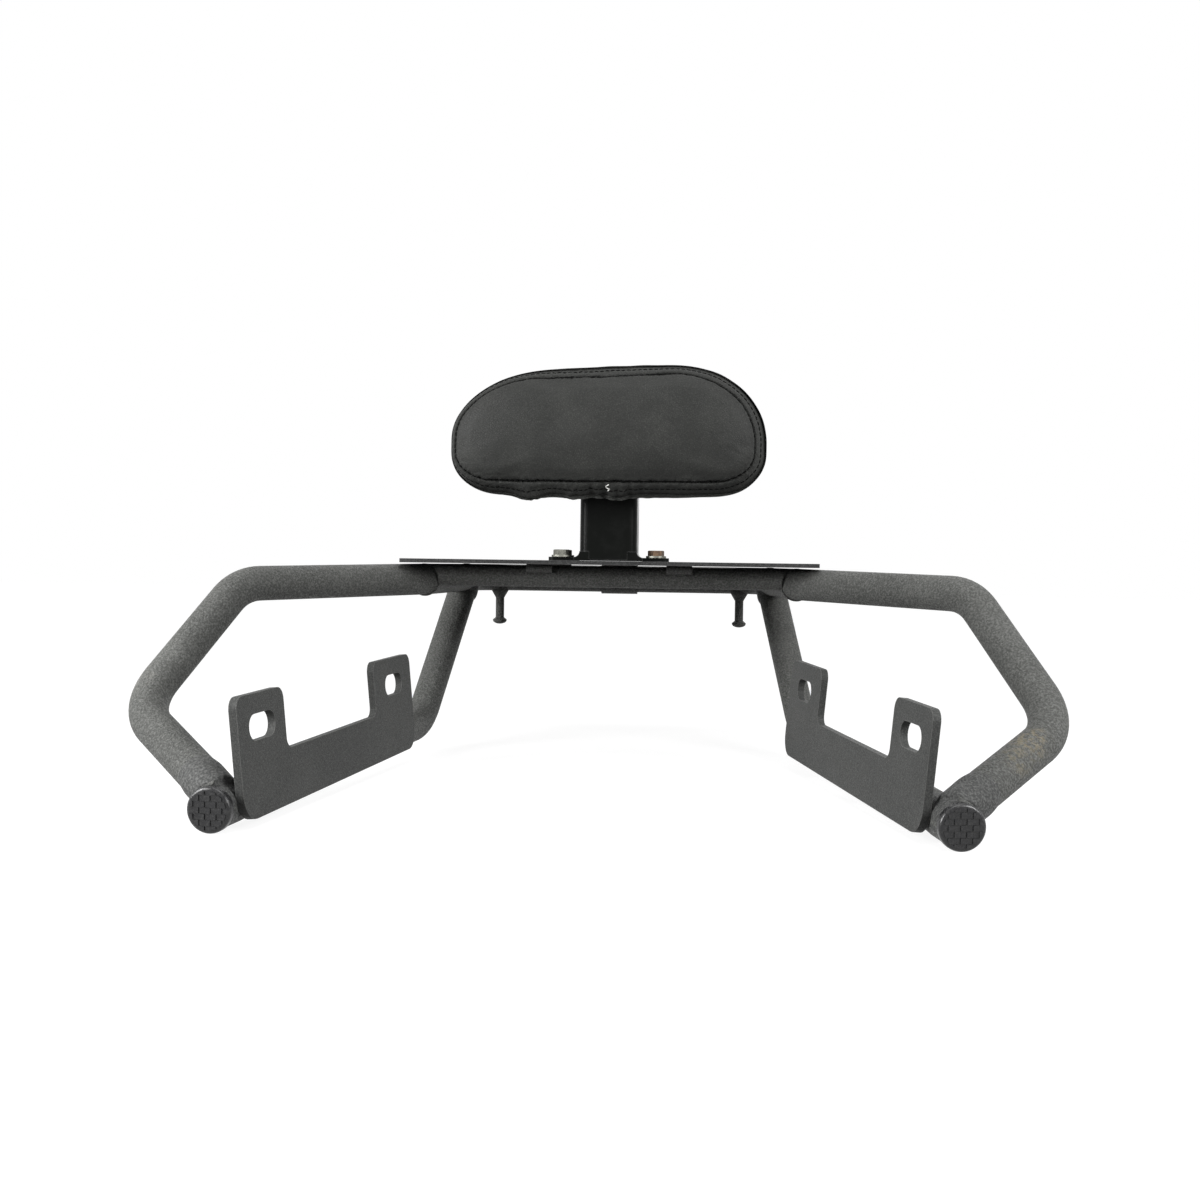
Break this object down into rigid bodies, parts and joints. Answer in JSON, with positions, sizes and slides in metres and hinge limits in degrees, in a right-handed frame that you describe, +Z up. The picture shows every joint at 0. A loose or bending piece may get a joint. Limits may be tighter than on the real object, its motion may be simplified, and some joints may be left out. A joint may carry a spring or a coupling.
{
  "type": "motorcycle sissy bar",
  "caption": "Motorcycle sissy bar: bent tube frame with slotted side brackets, a flat carrier plate and a small padded backrest on a folded post.",
  "frame": {"origin": "middle of the bounding box at its base: on the surface that the frame stands on", "axes": "+Z up, +Y towards the rear of the bike, +X to the right as the picture shows it from the front"},
  "size_m": [0.5304, 0.4896, 0.2708],
  "materials": {
    "texture_coat": "coarse textured powder coat",
    "plate_coat": "fine textured powder coat",
    "bracket_coat": "fine textured powder coat",
    "satin_black": "satin black paint",
    "leatherette": "grained black leatherette",
    "board": "black stained board",
    "plug_plastic": "checkered face and smooth rim",
    "zinc_steel": "pale zinc plating",
    "yellow_zinc": "yellow zinc plating, dulled"
  },
  "bodies": {
    "root": {"side_loop_left": "texture_coat", "side_loop_right": "texture_coat", "rack_rail_left": "texture_coat", "rack_rail_right": "texture_coat", "lower_tube_left": "texture_coat", "lower_tube_right": "texture_coat", "cross_tube": "texture_coat", "rear_sleeve": "texture_coat", "carrier_plate": "plate_coat", "plate_welds": "texture_coat", "bracket_left": "bracket_coat", "bracket_right": "bracket_coat", "bracket_welds_left": "texture_coat", "bracket_welds_right": "texture_coat", "end_plug_left": "plug_plastic", "end_plug_right": "plug_plastic", "hook_pin_left": "texture_coat", "hook_pin_right": "texture_coat", "backrest_post": "satin_black", "post_bolt_front_left": "zinc_steel", "post_bolt_front_right": "yellow_zinc", "post_bolt_rear_left": "zinc_steel", "post_bolt_rear_right": "zinc_steel", "post_washer_front_left": "zinc_steel", "post_washer_front_right": "zinc_steel", "post_washer_rear_left": "zinc_steel", "post_washer_rear_right": "zinc_steel", "pad_board": "board", "pad_cushion": "leatherette", "pad_screw_upper": "zinc_steel", "pad_screw_lower": "zinc_steel", "pad_washer_upper": "zinc_steel", "pad_washer_lower": "zinc_steel"}
  },
  "joints": []
}
